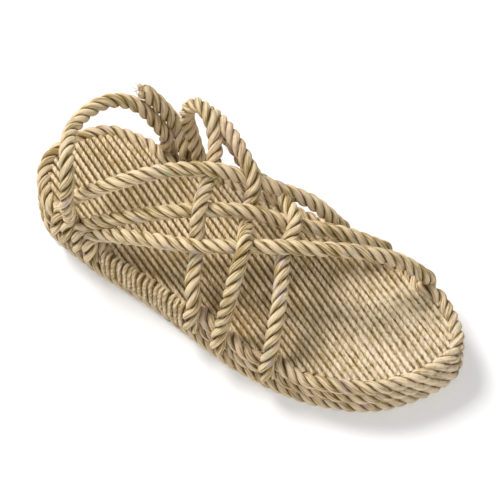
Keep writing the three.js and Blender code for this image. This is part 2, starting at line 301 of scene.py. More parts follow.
def fibre_group():
    group = bpy.data.node_groups.new("dry fibre", "ShaderNodeTree")
    for name, kind, value in (
        ("Strand", "NodeSocketVector", None), ("Place", "NodeSocketVector", None),
        ("Rise", "NodeSocketFloat", 1.0), ("Tone", "NodeSocketFloat", 0.5),
        ("Light", "NodeSocketColor", None), ("Dark", "NodeSocketColor", None),
        ("Groove Shade", "NodeSocketColor", None), ("Fleck", "NodeSocketFloat", 0.5),
        ("Streak Bump", "NodeSocketFloat", 0.5),
    ):
        socket = group.interface.new_socket(name, in_out="INPUT", socket_type=kind)
        if value is not None:
            socket.default_value = value
    for name, kind in (("Colour", "NodeSocketColor"), ("Roughness", "NodeSocketFloat"),
                       ("Normal", "NodeSocketVector")):
        group.interface.new_socket(name, in_out="OUTPUT", socket_type=kind)
    given = group.nodes.new("NodeGroupInput").outputs

    streak = noise(group, vectors(group, "MULTIPLY", given["Strand"], STREAK_SCALE), 1.0, 4.0, 0.65)
    coarse = noise(group, vectors(group, "MULTIPLY", given["Strand"], COARSE_SCALE), 1.0, 2.0)
    patch = noise(group, given["Place"], 60.0, 3.0)
    # Painted highlight: the top of each strand is pushed towards the light colour.
    painted_crest_light = remap(group, given["Rise"], 0.70, 1.0)
    share = 0.5
    for value, weight in ((streak, STREAK_WEIGHT), (coarse, COARSE_WEIGHT), (patch, PATCH_WEIGHT),
                          (given["Tone"], TONE_WEIGHT), (painted_crest_light, CREST_LIGHT_WEIGHT)):
        centred = maths(group, "SUBTRACT", value, 0.5)
        share = maths(group, "ADD", share, maths(group, "MULTIPLY", centred, weight))
    colour = blend_colours(group, remap(group, share, 0.1, 0.9), given["Dark"], given["Light"])

    fleck_place = vectors(group, "MULTIPLY", given["Strand"], FLECK_SCALE)
    fleck_spot = noise(group, vectors(group, "ADD", fleck_place, (7.0, 3.0, 1.0)), 1.0, 1.0)
    fleck_area = noise(group, vectors(group, "ADD", given["Place"], (0.4, 0.2, 0.7)), 80.0, 1.0)
    fleck_mask = maths(group, "MULTIPLY", remap(group, fleck_spot, 0.52, 0.62),
                       remap(group, fleck_area, 0.52, 0.62))
    fleck_hue = group.nodes.new("ShaderNodeValToRGB")
    fleck_hue.color_ramp.interpolation = "CONSTANT"
    ramp = fleck_hue.color_ramp.elements
    ramp[0].position, ramp[0].color = 0.0, GREENISH
    ramp[1].position, ramp[1].color = 0.47, PINK
    ramp.new(0.55).color = LILAC
    group.links.new(noise(group, given["Place"], 140.0, 0.0), fleck_hue.inputs["Fac"])
    colour = blend_colours(group, maths(group, "MULTIPLY", fleck_mask, given["Fleck"]), colour,
                           fleck_hue.outputs["Color"])

    # Painted shade: low rise, where two strands meet, takes the dark groove colour.
    painted_groove_shade = remap(group, given["Rise"], GROOVE_RISE, CLEAR_RISE, GROOVE_SHADE_STRENGTH, 0.0)
    colour = blend_colours(group, painted_groove_shade, colour, given["Groove Shade"])

    height = maths(group, "ADD", maths(group, "MULTIPLY", streak, 0.5),
                   maths(group, "MULTIPLY", coarse, 0.9))
    bump = add_node(group, "ShaderNodeBump", {"Height": height, "Distance": 0.0015,
                                              "Strength": given["Streak Bump"]})
    made = group.nodes.new("NodeGroupOutput")
    group.links.new(colour, made.inputs["Colour"])
    group.links.new(remap(group, streak, 0.2, 0.8, 0.95, 0.72), made.inputs["Roughness"])
    group.links.new(bump.outputs["Normal"], made.inputs["Normal"])
    return group


DRY_FIBRE = fibre_group()
print("group", DRY_FIBRE.name, len(DRY_FIBRE.nodes), "nodes")

# %% [markdown]
# ## One material for each kind of rope
# The sole's layers are a shade darker than the straps, and the footbed is the palest. Painted light
# brightens the footbed and the sole at the toes, and a painted shade darkens the footbed under the
# straps. A few places carry stains, pinkish, greyish or dark. All are soft spots in the sandal's own
# coordinates.


# %% Rope materials
def stains_and_painted_light_and_shade(tree, colour, place, spots):
    """Soft stains, and soft spots of painted light and shade: each spot has a centre and a reach in
    millimetres, a colour and a strength.
    """
    for centre, reach, tint, strength in spots:
        far = vectors(tree, "DISTANCE", place, tuple(v * MM for v in centre))
        share = remap(tree, far, 0.2 * reach * MM, reach * MM, strength, 0.0)
        broken = remap(tree, noise(tree, place, 260.0, 3.0), 0.35, 0.6)
        colour = blend_colours(tree, maths(tree, "MULTIPLY", share, broken), colour, tint)
    return colour


def rope_material(name, light, dark, groove, fleck, bump, spots=()):
    material = bpy.data.materials.new(name)
    material.use_nodes = True
    tree = material.node_tree
    shader = tree.nodes["Principled BSDF"]
    place = tree.nodes.new("ShaderNodeTexCoord").outputs["Object"]
    read = {key: add_node(tree, "ShaderNodeAttribute", attribute_name=key)
            for key in ("strand", "rise", "tone")}
    fibre = add_node(tree, "ShaderNodeGroup", node_tree=DRY_FIBRE)
    tree.links.new(read["strand"].outputs["Vector"], fibre.inputs["Strand"])
    tree.links.new(place, fibre.inputs["Place"])
    tree.links.new(read["rise"].outputs["Fac"], fibre.inputs["Rise"])
    tree.links.new(read["tone"].outputs["Fac"], fibre.inputs["Tone"])
    for key, value in (("Light", light), ("Dark", dark), ("Groove Shade", groove), ("Fleck", fleck),
                       ("Streak Bump", bump)):
        fibre.inputs[key].default_value = value
    tree.links.new(stains_and_painted_light_and_shade(tree, fibre.outputs["Colour"], place, spots), shader.inputs["Base Color"])
    tree.links.new(fibre.outputs["Roughness"], shader.inputs["Roughness"])
    tree.links.new(fibre.outputs["Normal"], shader.inputs["Normal"])
    shader.inputs["Sheen Weight"].default_value = 0.03
    shader.inputs["Sheen Roughness"].default_value = 0.45
    shader.inputs["Specular IOR Level"].default_value = 0.09
    return material


PINKISH = (0.60, 0.43, 0.33, 1)
UMBER = (0.27, 0.16, 0.07, 1)
GREYISH = (0.52, 0.45, 0.36, 1)
# The pale tint below is painted light for the toes.
PAINTED_TOE_LIGHT = (0.95, 0.82, 0.62, 1)
STRAP_STAINS = [
    ((-33, -28, 82), 20, PINKISH, 0.75),
    ((-38, -45, 74), 13, UMBER, 0.5),
    ((36, 30, 62), 12, GREYISH, 0.5),
]
FOOTBED_PAINTED_LIGHT_AND_SHADE = [
    # Painted shade: a dark spot darkens the footbed under the straps.
    ((38, 20, 26), 32, UMBER, 0.42),
    # Painted light: a broad pale spot brightens the footbed at the toes.
    ((2, 108, 26), 78, PAINTED_TOE_LIGHT, 0.5),
]
SOLE_STAINS_AND_PAINTED_LIGHT = [
    # Painted light: a broad pale spot brightens the top of the sole at the toes.
    ((10, 135, 26), 60, PAINTED_TOE_LIGHT, 0.45),
    ((50, 4, 22), 14, PINKISH, 0.55),
    ((52, 34, 20), 13, PINKISH, 0.5),
    ((47, -40, 10), 40, GREYISH, 0.35),
]
# The third colour of each rope is its painted groove shade, laid where two strands meet.
STRAP_ROPE = rope_material("strap rope", (0.82, 0.655, 0.425, 1), (0.36, 0.25, 0.085, 1),
                           (0.10, 0.052, 0.012, 1), 0.75, 1.0, STRAP_STAINS)
SOLE_ROPE = rope_material("sole rope", (0.81, 0.64, 0.42, 1), (0.35, 0.24, 0.09, 1),
                          (0.085, 0.044, 0.010, 1), 0.75, 1.0, SOLE_STAINS_AND_PAINTED_LIGHT)
FOOTBED_ROPE = rope_material("footbed rope", (0.90, 0.73, 0.505, 1), (0.54, 0.395, 0.19, 1),
                             (0.22, 0.14, 0.045, 1), 0.45, 1.0, FOOTBED_PAINTED_LIGHT_AND_SHADE)
print("materials", [m.name for m in (STRAP_ROPE, SOLE_ROPE, FOOTBED_ROPE)])

# %% [markdown]
# ## Laying a rope
# A ropewalk turns three strands about each other, and Geometry Nodes can do the same. The tree takes a
# plain line, splits it into three copies, pushes each copy out from the middle at its own angle and
# lets the angle grow along the line. Sweeping a round along each copy gives plump strands that press
# into each other, with the sharp grooves of real rope. A closed ring gets a whole number of turns, so it
# meets itself without a step. An open rope carries its turns with it, and is laid less where it opens.


# %% Sockets and attributes of a geometry tree
def geometry_tree(name, sizes):
    tree = bpy.data.node_groups.new(name, "GeometryNodeTree")
    tree.interface.new_socket("Geometry", in_out="INPUT", socket_type="NodeSocketGeometry")
    tree.interface.new_socket("Geometry", in_out="OUTPUT", socket_type="NodeSocketGeometry")
    for key, value in sizes.items():
        kind = "NodeSocketInt" if isinstance(value, int) else "NodeSocketFloat"
        tree.interface.new_socket(key, in_out="INPUT", socket_type=kind).default_value = value
    tree.interface.new_socket("Material", in_out="INPUT", socket_type="NodeSocketMaterial")
    return tree, tree.nodes.new("NodeGroupInput").outputs


def keep(tree, geometry, name, value, kind="FLOAT"):
    return add_node(tree, "GeometryNodeStoreNamedAttribute", {
        "Geometry": geometry, "Name": name, "Value": value,
    }, data_type=kind, domain="POINT").outputs["Geometry"]


def recall(tree, name, kind="FLOAT"):
    read = add_node(tree, "GeometryNodeInputNamedAttribute", {"Name": name}, data_type=kind)
    return read.outputs["Attribute"]


def own_number(tree, seed):
    """A random number from 0 to 1, the same all along each strand."""
    number = add_node(tree, "FunctionNodeRandomValue", {"Seed": seed}, data_type="FLOAT").outputs[1]
    whole = add_node(tree, "GeometryNodeFieldOnDomain", {0: number}, data_type="FLOAT", domain="CURVE")
    return whole.outputs[0]


def finish_tree(tree, geometry, material):
    real = add_node(tree, "GeometryNodeRealizeInstances", {"Geometry": geometry}).outputs[0]
    soft = add_node(tree, "GeometryNodeSetShadeSmooth", {"Geometry": real}).outputs[0]
    done = add_node(tree, "GeometryNodeSetMaterial", {"Geometry": soft, "Material": material}).outputs[0]
    tree.links.new(done, tree.nodes.new("NodeGroupOutput").inputs[0])


# %% The strand coordinates that the fibre finish reads
STREAK_SHIFT = 3.0  # metres by which tone moves a strand's streaks, so that neighbours differ


def swept(tree, line, sides, radius, along):
    """Sweeps a round along a line and keeps, on every point, where on the strand it is."""
    round_profile = add_node(tree, "GeometryNodeCurvePrimitiveCircle", {
        "Resolution": sides, "Radius": radius}).outputs["Curve"]
    round_place = add_node(tree, "GeometryNodeSplineParameter").outputs["Factor"]
    turn = maths(tree, "MULTIPLY", round_place, math.tau)
    round_profile = keep(tree, round_profile, "turn_cos", maths(tree, "COSINE", turn))
    round_profile = keep(tree, round_profile, "turn_sin", maths(tree, "SINE", turn))
    line = keep(tree, line, "along", along)
    mesh = add_node(tree, "GeometryNodeCurveToMesh", {
        "Curve": line, "Profile Curve": round_profile, "Fill Caps": True,
        "Scale": recall(tree, "thickness"),
    }).outputs["Mesh"]
    strand = add_node(tree, "ShaderNodeCombineXYZ", {
        0: maths(tree, "ADD", recall(tree, "along"),
                 maths(tree, "MULTIPLY", recall(tree, "tone"), STREAK_SHIFT)),
        1: maths(tree, "MULTIPLY", recall(tree, "turn_cos"), radius),
        2: maths(tree, "MULTIPLY", recall(tree, "turn_sin"), radius),
    }).outputs[0]
    return keep(tree, mesh, "strand", strand, "FLOAT_VECTOR")


# %% The laid rope tree
TOP_PLACE, GROOVE_PLACE = 0.38, 0.92  # shares of a round's radius, out from its middle
# The groove share scales the rise between neighbouring rounds, which deepens the painted shade there.
GROOVE_SHARE = 0.54
STRAND_OPENING = 0.28
NOISE_GAIN = 4.0  # noise strays about a quarter either side of its middle
COPY_APART = 7.3  # step in the noise from one strand of a rope to the next


def beside_share(tree, axis, radius, given):
    """1 on top of a round that lies beside others, less towards the groove between them. It scales the
    rise, which deepens the painted groove shade there.
    """
    apart = vectors(tree, "SUBTRACT", add_node(tree, "GeometryNodeInputPosition").outputs[0], axis)
    beside = add_node(tree, "ShaderNodeCombineXYZ", {0: given["Beside X"], 1: given["Beside Y"]}).outputs[0]
    aside = maths(tree, "ABSOLUTE", vectors(tree, "DOT_PRODUCT", apart, beside))
    return add_node(tree, "ShaderNodeMapRange", {
        "Value": maths(tree, "DIVIDE", aside, radius),
        "From Min": TOP_PLACE, "From Max": GROOVE_PLACE, "To Min": 1.0, "To Max": GROOVE_SHARE,
    }).outputs["Result"]


def laid_rope_tree():
    tree, given = geometry_tree("laid rope", {
        "Rope Radius": 0.0046, "Strand Reach": 0.53, "Strand Share": 0.478, "Ring Turns": 0, "Step": 0.0013,
        "Sides": 12, "Unevenness": 0.05, "Beside X": 0.0, "Beside Y": 0.0, "Seed": 1})
    line = add_node(tree, "GeometryNodeMeshToCurve", {"Mesh": given["Geometry"]}).outputs["Curve"]
    resample = add_node(tree, "GeometryNodeResampleCurve", {"Curve": line}, mode="LENGTH")
    tree.links.new(given["Step"], resample.inputs["Length"])
    here = add_node(tree, "GeometryNodeInputPosition").outputs[0]
    line = keep(tree, resample.outputs["Curve"], "axis", here, "FLOAT_VECTOR")
    copies = add_node(tree, "GeometryNodeDuplicateElements", {"Geometry": line, "Amount": 3},
                      domain="SPLINE")
    line = keep(tree, copies.outputs["Geometry"], "copy", copies.outputs["Duplicate Index"])

    factor = add_node(tree, "GeometryNodeSplineParameter").outputs
    ring = maths(tree, "MULTIPLY", factor["Factor"], given["Ring Turns"])
    third = maths(tree, "DIVIDE", recall(tree, "copy"), 3.0)
    turned = maths(tree, "ADD", maths(tree, "ADD", recall(tree, "turns"), ring), third)
    angle = maths(tree, "MULTIPLY", turned, math.tau)
    normal = add_node(tree, "GeometryNodeInputNormal").outputs["Normal"]
    side = vectors(tree, "CROSS_PRODUCT", add_node(tree, "GeometryNodeInputTangent").outputs[0], normal)
    outward = vectors(tree, "ADD", vectors(tree, "SCALE", normal, scale=maths(tree, "COSINE", angle)),
                      vectors(tree, "SCALE", side, scale=maths(tree, "SINE", angle)))
    opened = maths(tree, "ADD", maths(tree, "MULTIPLY", recall(tree, "flare"), STRAND_OPENING), 1.0)
    reach = maths(tree, "MULTIPLY", given["Rope Radius"], given["Strand Reach"])
    reach = maths(tree, "MULTIPLY", reach, opened)

    wander = add_node(tree, "ShaderNodeTexNoise", {"Vector": here, "Scale": 210.0, "Detail": 1.0},
                      noise_dimensions="4D")
    own_noise = maths(tree, "MULTIPLY", recall(tree, "copy"), COPY_APART)
    tree.links.new(maths(tree, "ADD", own_noise, given["Seed"]), wander.inputs["W"])
    uneven = maths(tree, "SUBTRACT", wander.outputs["Fac"], 0.5)
    uneven = maths(tree, "MULTIPLY", uneven, given["Unevenness"])
    thickness = maths(tree, "ADD", maths(tree, "MULTIPLY", uneven, NOISE_GAIN), 1.0)
    thickness = maths(tree, "SUBTRACT", thickness, recall(tree, "slim"))
    line = keep(tree, line, "thickness", thickness)
    line = keep(tree, line, "tone", own_number(tree, given["Seed"]))
    line = keep(tree, line, "run", factor["Length"])
    moved = add_node(tree, "GeometryNodeSetPosition", {
        "Geometry": line, "Offset": vectors(tree, "SCALE", outward, scale=reach)}).outputs[0]
    strand_radius = maths(tree, "MULTIPLY", given["Rope Radius"], given["Strand Share"])
    mesh = swept(tree, moved, given["Sides"], strand_radius, recall(tree, "run"))
    out = vectors(tree, "DISTANCE", add_node(tree, "GeometryNodeInputPosition").outputs[0],
                  recall(tree, "axis", "FLOAT_VECTOR"))
    # The rise, the distance out from the rope's middle, sets the painted groove shade and the painted crest
    # highlight.
    out = maths(tree, "ADD", maths(tree, "DIVIDE", out, given["Rope Radius"]), recall(tree, "cut"))
    out = maths(tree, "MULTIPLY", out, beside_share(tree, recall(tree, "axis", "FLOAT_VECTOR"),
                                                    given["Rope Radius"], given))
    mesh = keep(tree, mesh, "rise", out)
    finish_tree(tree, mesh, given["Material"])
    return tree


LAID_ROPE = laid_rope_tree()
print("tree", LAID_ROPE.name, len(LAID_ROPE.nodes), "nodes")


# %% Running a tree on plain lines
FOOT_UNLAID = 0.9
TURN_APART = 0.37  # share of a turn between the starts of one line and the next


def line_mesh(name, lines, flares=None, closed=False, cut_ends=None, slims=None, lay=ROPE_LAY):
    mesh = bpy.data.meshes.new(name)
    points, edges, opened, turned, cut, slim = [], [], [], [], [], []
    for i, line in enumerate(lines):
        first = len(points)
        points += [tuple(p * MM) for p in line]
        edges += [(first + k, first + k + 1) for k in range(len(line) - 1)]
        if closed:
            edges.append((first + len(line) - 1, first))
        flare = flares[i] if flares else np.zeros(len(line))
        opened += list(flare)
        turned += list(np.zeros(len(line)) if closed else TURN_APART * i + laid_length(line, flare) / lay)
        cut += list(cut_ends[i]) if cut_ends else [0.0] * len(line)
        slim += list(slims[i]) if slims else [0.0] * len(line)
    mesh.from_pydata(points, edges, [])
    for key, values in (("flare", opened), ("turns", turned), ("cut", cut), ("slim", slim)):
        mesh.attributes.new(key, "FLOAT", "POINT").data.foreach_set("value", values)
    return mesh


def laid_length(line, flare):
    """Laid length up to each point; where a rope opens, less of it is laid."""
    steps = np.linalg.norm(np.diff(line, axis=0), axis=1)
    laid = 1 - FOOT_UNLAID * (flare[1:] + flare[:-1]) / 2
    return np.concatenate([[0], np.cumsum(steps * laid)])


def run_tree(name, mesh, tree, values):
    piece = bpy.data.objects.new(name, mesh)
    bpy.context.scene.collection.objects.link(piece)
    modifier = piece.modifiers.new(tree.name, "NODES")
    modifier.node_group = tree
    for item in tree.interface.items_tree:
        if item.item_type == "SOCKET" and item.in_out == "INPUT" and item.name in values:
            modifier[item.identifier] = values[item.name]
    depsgraph = bpy.context.evaluated_depsgraph_get()
    made = bpy.data.meshes.new_from_object(piece.evaluated_get(depsgraph), depsgraph=depsgraph)
    piece.modifiers.clear()
    piece.data = made
    made.name = name
    for spare in ("axis", "along", "run", "copy", "turn_cos", "turn_sin", "thickness", "flare",
                  "turns", "cut", "slim"):
        if spare in made.attributes:
            made.attributes.remove(made.attributes[spare])
    return piece


def triangles(piece):
    return sum(len(p.vertices) - 2 for p in piece.data.polygons)


# %% [markdown]
# ## Straps, heel strap and tie rope
# Six ropes are woven over and under each other, one rope passes behind the heel and a short one ends
# beside it. Where a rope goes over the rim it is bent hard and its strands open a little, so each line
# carries a flare that grows towards its foot. The short rope is held at one end only, and it is a
# little thicker.


# %% Laid straps
FLARE_REACH = 24
CUT_REACH, CUT_SLIM = 2.5, 0.4
FOOT_REACH, FOOT_SLIM = 13, 0.34


def near_ends(line, strap, at_feet, reach):
    """1 at the feet, or else at the cut ends, fading to 0 over a reach."""
    steps = np.linalg.norm(np.diff(line, axis=0), axis=1)
    run = np.concatenate([[0], np.cumsum(steps)])
    near = np.zeros(len(line))
    for foot, distance in ((strap["start"], run), (strap["end"], run[-1] - run)):
        if bool(foot) == at_feet:
            near = np.maximum(near, np.clip(1 - distance / reach, 0, 1))
    return near


def strap_piece(name, straps, node, seed, swell=1.0):
    lines = [strap_line(strap) for strap in straps]
    flares = [near_ends(line, strap, True, FLARE_REACH) for line, strap in zip(lines, straps)]
    cut_ends = [near_ends(line, strap, False, CUT_REACH) for line, strap in zip(lines, straps)]
    slims = [CUT_SLIM * cut + FOOT_SLIM * near_ends(line, strap, True, FOOT_REACH)
             for line, strap, cut in zip(lines, straps, cut_ends)]
    piece = run_tree(name, line_mesh(name, lines, flares, cut_ends=cut_ends, slims=slims), LAID_ROPE, {
        "Rope Radius": ROPE_RADIUS * swell * MM, "Seed": seed, "Material": STRAP_ROPE})
    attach(piece, "root")
    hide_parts(node)
    print(name, triangles(piece), "triangles")
    return piece


woven_straps = strap_piece("woven_straps", WOVEN, "upper", 3)
heel_rope = strap_piece("heel_rope", [HEEL_STRAP], "heel_strap", 5)
short_rope = strap_piece("short_rope", [TIE_ROPE], "tie_rope", 9, swell=1.08)

# %% [markdown]
# ## The sole's layers
# The sole is three turns of rope stacked at its edge. The bottom one is filled with strands laid side
# by side, the top one with thin cords. The straps' feet press the upper two turns inwards, and the rim
# lifts a little on the toe side of each foot before it dips to the next one. On the outer side, between
# heel and instep, the two upper turns lie deeper, because thin cords are wrapped over them there. A
# plain core closes each layer inside, where nothing shows.

# %% Rope turns at the edge
DENT_DEPTH = 4.2
DENT_WIDTH = 7.5
LIFT_PLACE, LIFT_HEIGHT, LIFT_WIDTH = 9, 1.8, 6
DIP_PLACE, DIP_DEPTH, DIP_WIDTH = 22, 1.3, 8
WRAP_FIRST, WRAP_LAST = -72, -11
WRAP_DEPTH = 3.4
WRAP_FADE = 5
TIP_CLEAR = 0.93  # share of the half length beyond which the feet leave the edge as it is


def hump(distance, width):
    return math.exp(-((distance / width) ** 2))


def wrapped_share(point):
    """1 where thin cords are wrapped over the edge, 0 elsewhere."""
    if point[0] < 0:
        return 0.0
    inside_by = min(point[1] - WRAP_FIRST, WRAP_LAST - point[1])
    return float(np.clip(inside_by / WRAP_FADE + 0.5, 0, 1))


def edge_turn(height, dented, lifted):
    line = []
    for point, inward in zip(EDGE, INWARD):
        inset, rise = ROPE_RADIUS, 0.0
        for along, side in FEET:
            if side * point[0] > 0 and abs(point[1]) < HALF_LENGTH * TIP_CLEAR:
                ahead = point[1] - along * HALF_LENGTH
                inset += DENT_DEPTH * hump(ahead, DENT_WIDTH) if dented else 0
                if lifted:
                    rise += LIFT_HEIGHT * hump(ahead - LIFT_PLACE, LIFT_WIDTH)
                    rise -= DIP_DEPTH * hump(ahead - DIP_PLACE, DIP_WIDTH)
        covered = wrapped_share(point) if dented else 0
        inset = min(inset, ROPE_RADIUS + DENT_DEPTH)
        inset = max(inset, ROPE_RADIUS + WRAP_DEPTH * covered)
        rise = rise * (1 - covered) - (WRAP_DEPTH * covered if lifted else 0)
        line.append((*(point + inward * inset), height + rise))
    return np.array(line)


def line_length(line):
    return float(np.linalg.norm(np.roll(line, -1, 0) - line, axis=1).sum())


def edge_rope(name, height, dented, lifted, seed):
    line = edge_turn(height, dented, lifted)
    return run_tree(name, line_mesh(name, [line], closed=True), LAID_ROPE, {
        "Rope Radius": ROPE_RADIUS * MM, "Ring Turns": round(line_length(line) / ROPE_LAY), "Seed": seed,
        "Material": SOLE_ROPE})


# %% [markdown]
# ## Strands laid side by side
# Footbed and underside are fields of parallel lines at a slant across the sole, cut off at the edge's
# rope. On the footbed each line becomes a thin laid cord. Pressed plain strands make the underside: a
# second tree lets each line sway and swell a little, because hand-laid strands are never quite even,
# and sweeps a round along it.


# %% Lines across the field
FIELD_SWAY, SWAY_LENGTH, SWAY_SHIFT = 0.5, 23, 0.4
FIELD_REACH = HALF_LENGTH * 1.1


def inside(outline, x, y):
    nxt = np.roll(outline, -1, 0)
    crossing = (outline[:, 1] > y) != (nxt[:, 1] > y)
    aside, ahead = nxt[:, 0] - outline[:, 0], nxt[:, 1] - outline[:, 1] + 1e-12
    hit = outline[:, 0] + (y - outline[:, 1]) * aside / ahead
    return int(np.sum(crossing & (x < hit))) % 2 == 1


def field_lines(inset, height, mirror=1, over_wrap=0.0):
    insets = np.array([inset - over_wrap * wrapped_share(point) for point in EDGE])
    outline = EDGE + INWARD * insets[:, None]
    direction = np.array([math.sin(RIDGE_TURN) * mirror, math.cos(RIDGE_TURN)])
    across = np.array([direction[1], -direction[0]])
    count = int(HALF_LENGTH / RIDGE_PITCH)
    reach = np.arange(-FIELD_REACH, FIELD_REACH, 1.0)
    lines = []
    for i in range(-count, count + 1):
        sway = FIELD_SWAY * np.sin(reach / SWAY_LENGTH + SWAY_SHIFT * i)
        points = np.array([across * ((i + 0.5) * RIDGE_PITCH + s) + direction * t
                           for t, s in zip(reach, sway)])
        kept = [p for p in points if inside(outline, *p)]
        if len(kept) > 4:
            lines.append(np.array([(*p, height) for p in kept]))
    return lines


# %% The strand field tree
def strand_field_tree():
    tree, given = geometry_tree("strand field", {
        "Strand Radius": 0.0021, "Step": 0.0018, "Sides": 10, "Sway": 0.0007, "Pinch": 0.06,
        "Beside X": 1.0, "Beside Y": 0.0, "Seed": 1})
    line = add_node(tree, "GeometryNodeMeshToCurve", {"Mesh": given["Geometry"]}).outputs["Curve"]
    resample = add_node(tree, "GeometryNodeResampleCurve", {"Curve": line}, mode="LENGTH")
    tree.links.new(given["Step"], resample.inputs["Length"])
    line = resample.outputs["Curve"]
    here = add_node(tree, "GeometryNodeInputPosition").outputs[0]
    line = keep(tree, line, "run", add_node(tree, "GeometryNodeSplineParameter").outputs["Length"])
    line = keep(tree, line, "tone", own_number(tree, given["Seed"]))
    swell = add_node(tree, "ShaderNodeTexNoise", {"Vector": here, "Scale": 170.0, "Detail": 1.0})
    pinch = maths(tree, "MULTIPLY", maths(tree, "SUBTRACT", swell.outputs["Fac"], 0.5), given["Pinch"])
    thickness = maths(tree, "ADD", maths(tree, "MULTIPLY", pinch, NOISE_GAIN), 1.0)
    line = keep(tree, line, "thickness", thickness)
    sway = add_node(tree, "ShaderNodeTexNoise", {"Vector": here, "Scale": 60.0, "Detail": 2.0},
                    noise_dimensions="4D")
    tree.links.new(given["Seed"], sway.inputs["W"])
    offset = vectors(tree, "MULTIPLY", vectors(tree, "SUBTRACT", sway.outputs["Color"], (0.5, 0.5, 0.5)),
                     (NOISE_GAIN, NOISE_GAIN, 1.0))
    offset = vectors(tree, "SCALE", offset, scale=given["Sway"])
    line = add_node(tree, "GeometryNodeSetPosition", {"Geometry": line, "Offset": offset}).outputs[0]
    line = keep(tree, line, "axis", add_node(tree, "GeometryNodeInputPosition").outputs[0], "FLOAT_VECTOR")
    mesh = swept(tree, line, given["Sides"], given["Strand Radius"], recall(tree, "run"))
    # Here the rise is only the share beside the neighbours, which paints shade between the strands.
    mesh = keep(tree, mesh, "rise", beside_share(tree, recall(tree, "axis", "FLOAT_VECTOR"),
                                                 given["Strand Radius"], given))
    finish_tree(tree, mesh, given["Material"])
    return tree


STRAND_FIELD = strand_field_tree()


# %% Cores and layers
def core(name, inset, bottom, top, material):
    """A closed plain slab inside a layer."""
    outline = (EDGE + INWARD * inset)[::3]
    count = len(outline)
    points = [(*(p * MM), z * MM) for z in (bottom, top) for p in outline]
    faces = [tuple(range(count)), tuple(range(2 * count - 1, count - 1, -1))]
    faces += [(i, count + i, count + (i + 1) % count, (i + 1) % count) for i in range(count)]
    mesh = bpy.data.meshes.new(name)
    mesh.from_pydata(points, [], faces)
    mesh.materials.append(material)
    # Rise 0.6 lies below the groove range, so each core takes its material's full painted groove shade
    # colour.
    for key, kind, value in (("rise", "FLOAT", 0.6), ("tone", "FLOAT", 0.5)):
        mesh.attributes.new(key, kind, "POINT").data.foreach_set("value", [value] * len(points))
    piece = bpy.data.objects.new(name, mesh)
    bpy.context.scene.collection.objects.link(piece)
    return piece


def join_pieces(name, pieces):
    bpy.ops.object.select_all(action="DESELECT")
    for piece in pieces:
        piece.select_set(True)
    bpy.context.view_layer.objects.active = pieces[0]
    bpy.ops.object.join()
    pieces[0].name = name
    return pieces[0]


def settle(piece, node):
    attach(piece, "root")
    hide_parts(node)
    print(piece.name, triangles(piece), "triangles")


# %% Outsole and midsole
CORE_INSET = ROPE_DIAMETER * 0.62
CORE_GAP = 0.3
OUTSOLE_LIFT = 0.15
UNDER_STRAND = 2.05
UNDER_LIFT = 0.2
UNDER_INSET = ROPE_RADIUS * 1.6
under_lines = field_lines(UNDER_INSET, UNDER_STRAND + UNDER_LIFT, mirror=-1)
under_field = run_tree("under_field", line_mesh("under_field", under_lines), STRAND_FIELD, {
    "Strand Radius": UNDER_STRAND * MM, "Sway": 0.0003, "Seed": 4, "Material": SOLE_ROPE,
    "Beside X": math.cos(RIDGE_TURN), "Beside Y": math.sin(RIDGE_TURN)})
outsole_rope = edge_rope("outsole_rope", OUTSOLE_HEIGHT / 2 + OUTSOLE_LIFT, False, False, 11)
outsole_core = core("outsole_core", CORE_INSET, UNDER_STRAND, OUTSOLE_HEIGHT - CORE_GAP, SOLE_ROPE)
outsole_layer = join_pieces("outsole_layer", [outsole_rope, under_field, outsole_core])
settle(outsole_layer, "outsole")

midsole_rope = edge_rope("midsole_rope", OUTSOLE_HEIGHT + MIDSOLE_HEIGHT / 2, True, False, 17)
midsole_core = core("midsole_core", CORE_INSET + DENT_DEPTH, OUTSOLE_HEIGHT, RIM_BOTTOM - CORE_GAP,
                    SOLE_ROPE)
midsole_layer = join_pieces("midsole_layer", [midsole_rope, midsole_core])
settle(midsole_layer, "midsole")

# %% [markdown]
# ## Cords wrapped over the edge
# On the outer side, between the feet at the heel and the next foot forward, the upper turns don't show.
# There the footbed's cords turn over the edge and run straight down to the bottom rope, close beside
# each other. Each one is a short line bent over the edge, laid like the footbed's cords.

# %% Thin laid cords
CORD_RADIUS = 2.15
CORD_LAY = 10.8


def cord_field(name, lines, beside, seed, material):
    """Softly laid cords side by side; beside points from one cord to the next."""
    return run_tree(name, line_mesh(name, lines, lay=CORD_LAY), LAID_ROPE, {
        "Rope Radius": CORD_RADIUS * MM, "Strand Reach": 0.23, "Strand Share": 0.78, "Step": 0.0014,
        "Sides": 6, "Unevenness": 0.08, "Beside X": beside[0], "Beside Y": beside[1], "Seed": seed,
        "Material": material})


# %% Rim with its wrapped stretch
WRAP_PITCH = 3.8
WRAP_START = WRAP_FIRST + 2
WRAP_LEAN, LEAN_STEP = 1.4, 2.3
WRAP_STRAY, STRAY_STEP = 0.5, 5.1
WRAP_PLACES = [(6.4, -4.8), (5.0, -2.9), (3.5, -2.4), (2.4, -4.4), (2.1, -9.0), (2.1, -14.0), (2.4, -18.5),
               (3.8, -22.2)]  # inset from the edge and height above the sole's top, in mm
wrap_lines = []
for number, y in enumerate(np.arange(WRAP_START, WRAP_LAST, WRAP_PITCH)):
    lean = WRAP_LEAN * math.sin(number * LEAN_STEP)
    y += WRAP_STRAY * math.sin(number * STRAY_STEP)
    wrap_lines.append(smooth_line([
        (edge_at(y, 1) - inset, y + lean * (i / len(WRAP_PLACES) - 0.5), SOLE_HEIGHT + height)
        for i, (inset, height) in enumerate(WRAP_PLACES)], cuts=6))
wrapped = cord_field("wrapped", wrap_lines, (0, 1), 6, FOOTBED_ROPE)
edge_rim = edge_rope("edge_rim", RIM_BOTTOM + ROPE_RADIUS, True, True, 23)
rim = join_pieces("rim", [edge_rim, wrapped])
